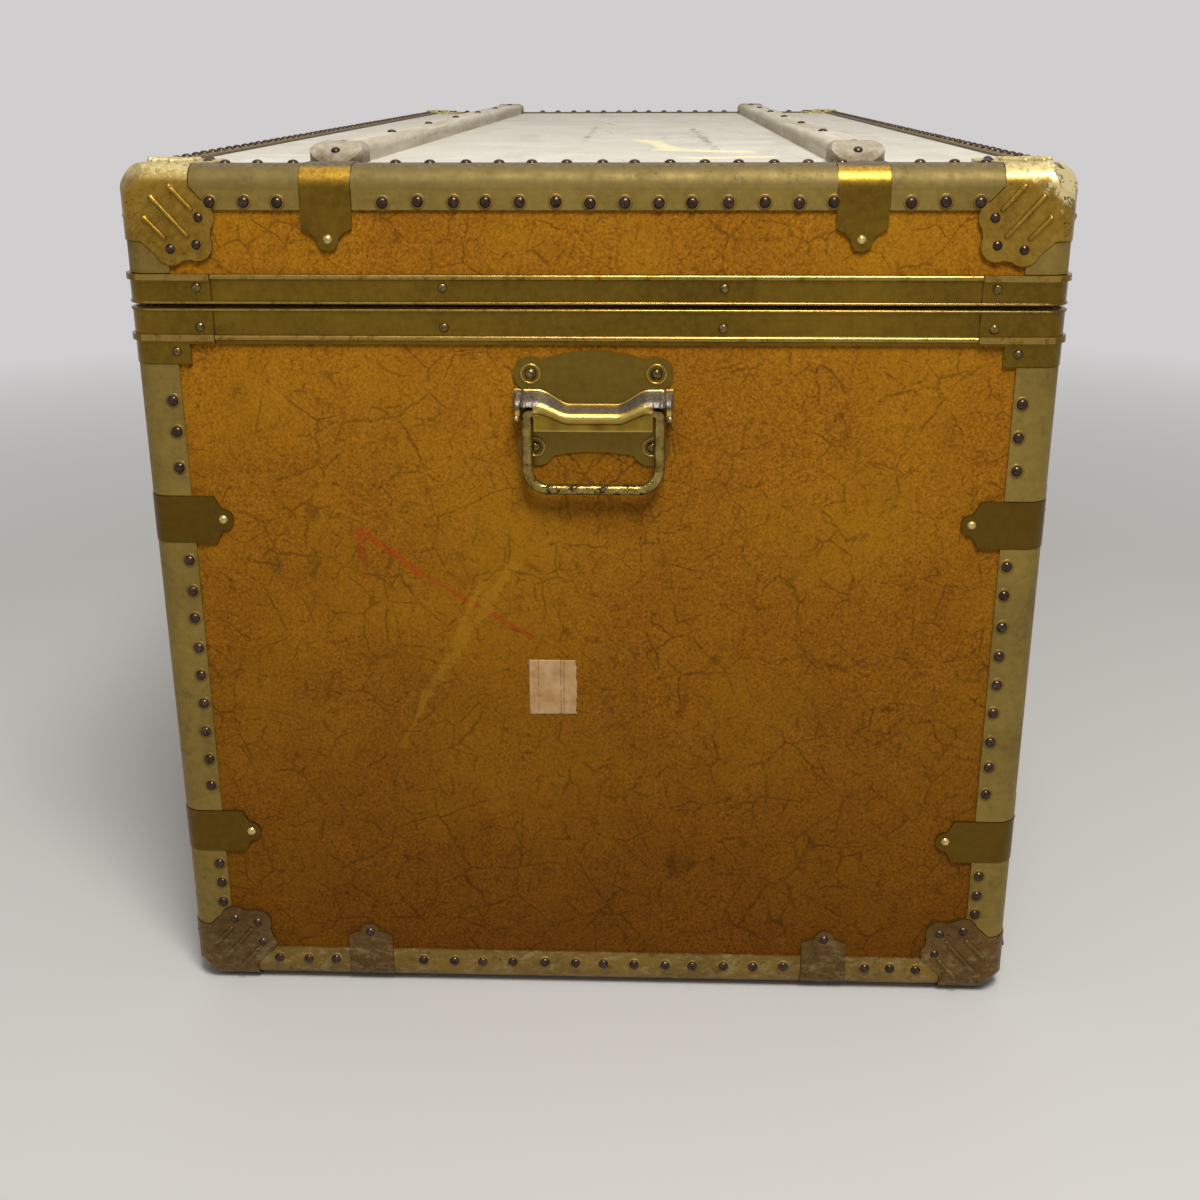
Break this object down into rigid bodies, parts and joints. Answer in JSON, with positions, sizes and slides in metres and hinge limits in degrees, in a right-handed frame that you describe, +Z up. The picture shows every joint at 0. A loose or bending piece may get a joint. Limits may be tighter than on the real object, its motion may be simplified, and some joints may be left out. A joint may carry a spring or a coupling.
{
  "type": "travel trunk",
  "caption": "Rectangular steamer trunk with a hinged lid, metal edging and corner caps, end bail handles, front lock and a lift-out tray.",
  "frame": {"origin": "centre of the rectangle the base stands on", "axes": "+X along the length to the end with the label, +Z up, -Y the lock side, +Y the hinge side"},
  "size_m": [1.2354, 0.5874, 0.563],
  "materials": {
    "board_poplar": "planed, unfinished",
    "lining_paper": "aged matte paper",
    "leatherette_orange": "worn orange-brown, fine grain, satin",
    "canvas_ivory": "painted canvas, cracked and rubbed",
    "edging_steel": "olive-brass lacquer over steel, satin",
    "band_steel": "dark olive-brass lacquer over steel, satin",
    "cap_brass": "pressed, aged, bright on the edges",
    "cap_brass_worn": "pressed, dull and scuffed",
    "clamp_brass": "pressed, dark patina",
    "slat_beech": "weathered, pale",
    "nail_bronze": "dark bronze, polished by wear",
    "handle_brass": "pressed, olive patina, bright edges",
    "bail_steel": "plated, chipped",
    "lock_brass": "pressed, aged satin",
    "tray_wood": "planed, lightly waxed",
    "tab_leather": "vegetable tanned, worn",
    "tape_cotton": "woven twill tape",
    "label_paper": "torn matte paper"
  },
  "bodies": {
    "trunk": {"base_board": "board_poplar", "body_front_board": "board_poplar", "body_back_board": "board_poplar", "body_end_boards": "board_poplar", "body_lining": "lining_paper", "dust_lip": "board_poplar", "body_corner_edging": "edging_steel", "base_edging": "edging_steel", "base_corner_caps": "cap_brass_worn", "body_bands": "band_steel", "body_band_corners": "band_steel", "side_slats": "slat_beech", "base_slats": "slat_beech", "side_slat_clamps": "clamp_brass", "base_slat_clamps": "clamp_brass", "body_nails": "nail_bronze", "right_handle_plate": "handle_brass", "right_handle_saddle": "handle_brass", "right_handle_rivets": "nail_bronze", "left_handle_plate": "handle_brass", "left_handle_saddle": "handle_brass", "left_handle_rivets": "nail_bronze", "hinge_body_leaves": "lock_brass", "hinge_pins": "bail_steel", "lock_case": "lock_brass", "catch_cases": "lock_brass", "tray_runners": "board_poplar", "right_stay_tape": "tape_cotton", "left_stay_tape": "tape_cotton", "paper_label": "label_paper", "body_covering": "leatherette_orange", "base_covering": "leatherette_orange"},
    "lid": {"lid_top_board": "board_poplar", "lid_front_board": "board_poplar", "lid_back_board": "board_poplar", "lid_end_boards": "board_poplar", "lid_lining": "lining_paper", "lid_top_edging": "edging_steel", "lid_corner_edging": "edging_steel", "lid_corner_caps": "cap_brass", "lid_bands": "band_steel", "lid_band_corners": "band_steel", "lid_slats": "slat_beech", "lid_slat_clamps": "clamp_brass", "lid_nails": "nail_bronze", "hinge_lid_leaves": "lock_brass", "hasp_leaves": "lock_brass", "hasp_pins": "bail_steel", "lid_side_covering": "leatherette_orange", "lid_top_covering": "canvas_ivory"},
    "right_bail": {"right_bail": "bail_steel"},
    "left_bail": {"left_bail": "bail_steel"},
    "lock_hasp": {"lock_hasp": "lock_brass"},
    "left_catch_hasp": {"left_catch_hasp": "lock_brass"},
    "right_catch_hasp": {"right_catch_hasp": "lock_brass"},
    "lock_bolt": {"lock_bolt": "bail_steel"},
    "lock_plug": {"lock_plug": "lock_brass"},
    "tray": {"tray_bottom": "tray_wood", "tray_walls": "tray_wood", "tray_tabs": "tab_leather"}
  },
  "joints": [
    {"name": "lid_hinge", "type": "hinge", "parent": "trunk", "child": "lid", "pos_m": [0, 0.2843, 0.47075], "axis": [-1, 0, 0], "range_deg": [0, 100], "deforming": ["right_stay_tape", "left_stay_tape"]},
    {"name": "right_bail_swing", "type": "hinge", "parent": "trunk", "child": "right_bail", "pos_m": [0.6119, 0, 0.4088], "axis": [0, -1, 0], "range_deg": [0, 90]},
    {"name": "left_bail_swing", "type": "hinge", "parent": "trunk", "child": "left_bail", "pos_m": [-0.6119, 0, 0.4088], "axis": [0, 1, 0], "range_deg": [0, 90]},
    {"name": "lock_hasp_swing", "type": "hinge", "parent": "lid", "child": "lock_hasp", "pos_m": [0, -0.2896, 0.483], "axis": [-1, 0, 0], "range_deg": [0, 160]},
    {"name": "left_catch_swing", "type": "hinge", "parent": "lid", "child": "left_catch_hasp", "pos_m": [-0.34, -0.2896, 0.483], "axis": [-1, 0, 0], "range_deg": [0, 160]},
    {"name": "right_catch_swing", "type": "hinge", "parent": "lid", "child": "right_catch_hasp", "pos_m": [0.34, -0.2896, 0.483], "axis": [-1, 0, 0], "range_deg": [0, 160]},
    {"name": "lock_plug_turn", "type": "hinge", "parent": "trunk", "child": "lock_plug", "pos_m": [0, -0.292, 0.4195], "axis": [0, -1, 0], "range_deg": [0, 90]},
    {"name": "lock_bolt_slide", "type": "slide", "parent": "trunk", "child": "lock_bolt", "axis": [1, 0, 0], "range_m": [0, 0.008]},
    {"name": "tray_lift", "type": "slide", "parent": "trunk", "child": "tray", "axis": [0, 0, 1], "range_m": [0, 0.06]}
  ],
  "couplings": [
    {"joint": "lock_bolt_slide", "follows": "lock_plug_turn", "m_per_rad": 0.005092}
  ]
}
